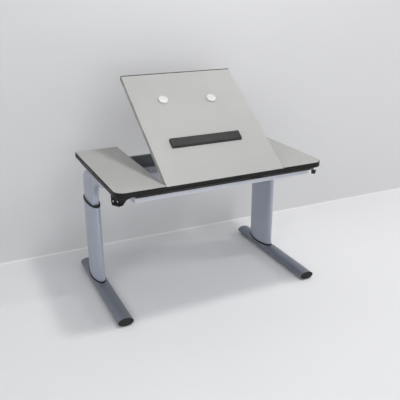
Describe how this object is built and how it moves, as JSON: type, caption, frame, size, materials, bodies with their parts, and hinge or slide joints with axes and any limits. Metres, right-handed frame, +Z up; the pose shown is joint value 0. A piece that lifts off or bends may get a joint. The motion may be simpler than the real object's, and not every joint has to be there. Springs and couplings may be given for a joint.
{
  "type": "drafting table",
  "caption": "Height-adjustable drafting table on C-shaped legs, with a tilting drawing board between two fixed side panels, a magnetic pencil bar and magnets.",
  "frame": {"origin": "on the floor, below the centre of the overall footprint", "axes": "+X to the right of a seated user, +Y away from the user towards the rear edge, +Z up; the board hinge runs along X near the front edge"},
  "size_m": [1.234, 0.812, 1.2008],
  "materials": {
    "laminate": "fine matt laminate on particle board",
    "face_laminate": "fine matt coated steel sheet",
    "edging": "moulded polyurethane, satin",
    "band": "matt edge band",
    "silver_paint": "satin silver powder coat",
    "foot_paint": "satin dark silver powder coat",
    "tray_paint": "matt slate powder coat",
    "black_plastic": "matt black",
    "rail_plastic": "matt anthracite",
    "rubber": "matt black",
    "steel": "zinc plated",
    "nylon": "natural nylon",
    "magnet_white": "satin white",
    "ferrite": "pressed ferrite",
    "cast": "as cast"
  },
  "bodies": {
    "lower_legs": {"left_foot_tube": "foot_paint", "right_foot_tube": "foot_paint", "foot_end_caps": "black_plastic", "foot_glides": "rubber", "base_gaskets": "rubber", "left_outer_column": "silver_paint", "right_outer_column": "silver_paint", "left_column_collar": "black_plastic", "right_column_collar": "black_plastic", "column_anchors": "cast", "anchor_bolts": "steel", "lift_cylinders": "steel"},
    "tilting_board": {"board_core": "laminate", "board_face_sheet": "face_laminate", "board_front_edging": "edging", "board_rear_edging": "edging", "board_side_bands": "band", "hinge_bushes": "nylon", "slot_guides": "steel", "guide_screws": "steel"},
    "tilt_arms": {"left_tilt_arm": "steel", "right_tilt_arm": "steel", "arm_slide_bushes": "nylon", "tilt_shaft": "steel"},
    "release_slide": {"release_slide": "black_plastic"},
    "left_magnet": {"left_magnet_cap": "magnet_white", "left_magnet_core": "ferrite"},
    "right_magnet": {"right_magnet_cap": "magnet_white", "right_magnet_core": "ferrite"},
    "pencil_bar": {"pencil_bar": "black_plastic", "bar_magnet_strips": "ferrite"},
    "top_frame": {"board_rests": "rubber", "brake_clamp": "black_plastic", "cable_tray": "tray_paint", "chassis_pan": "silver_paint", "cross_beam": "tray_paint", "front_rail": "rail_plastic", "hinge_pins": "steel", "hook_screws": "steel", "left_bag_hook": "black_plastic", "left_neck_tube": "silver_paint", "left_panel": "laminate", "left_panel_edging": "edging", "lift_rods": "steel", "mount_plates": "tray_paint", "mount_screws": "steel", "pan_screws": "steel", "panel_inner_bands": "band", "release_guide": "black_plastic", "release_spring": "steel", "right_bag_hook": "black_plastic", "right_neck_tube": "silver_paint", "right_panel": "laminate", "right_panel_edging": "edging", "shaft_brackets": "steel", "shaft_bushes": "nylon", "spring_post": "steel", "tray_brackets": "tray_paint", "tube_shoes": "nylon"}
  },
  "joints": [
    {"name": "height_slide", "type": "slide", "parent": "lower_legs", "child": "top_frame", "axis": [0, 0, 1], "range_m": [-0.015, 0.135]},
    {"name": "board_tilt", "type": "hinge", "parent": "top_frame", "child": "tilting_board", "pos_m": [0, -0.392, 0.743], "axis": [1, 0, 0], "range_deg": [-34.7, 10.3]},
    {"name": "arm_swing", "type": "hinge", "parent": "top_frame", "child": "tilt_arms", "pos_m": [0, -0.2034, 0.72001], "axis": [1, 0, 0], "range_deg": [-69.4, 20.6]},
    {"name": "release_pull", "type": "slide", "parent": "top_frame", "child": "release_slide", "axis": [0, -1, 0], "range_m": [0, 0.008], "stiffness_N_per_m": 900, "springref_m": -0.004},
    {"name": "left_magnet_slide", "type": "slide", "parent": "tilting_board", "child": "left_magnet", "axis": [0, 0.8221, 0.5693], "range_m": [-0.03, 0.17]},
    {"name": "right_magnet_slide", "type": "slide", "parent": "tilting_board", "child": "right_magnet", "axis": [0, 0.8221, 0.5693], "range_m": [-0.03, 0.17]},
    {"name": "pencil_bar_slide", "type": "slide", "parent": "tilting_board", "child": "pencil_bar", "axis": [0, 0.8221, 0.5693], "range_m": [-0.2, 0.2]}
  ],
  "couplings": [
    {"joint": "arm_swing", "follows": "board_tilt", "ratio": 2}
  ]
}
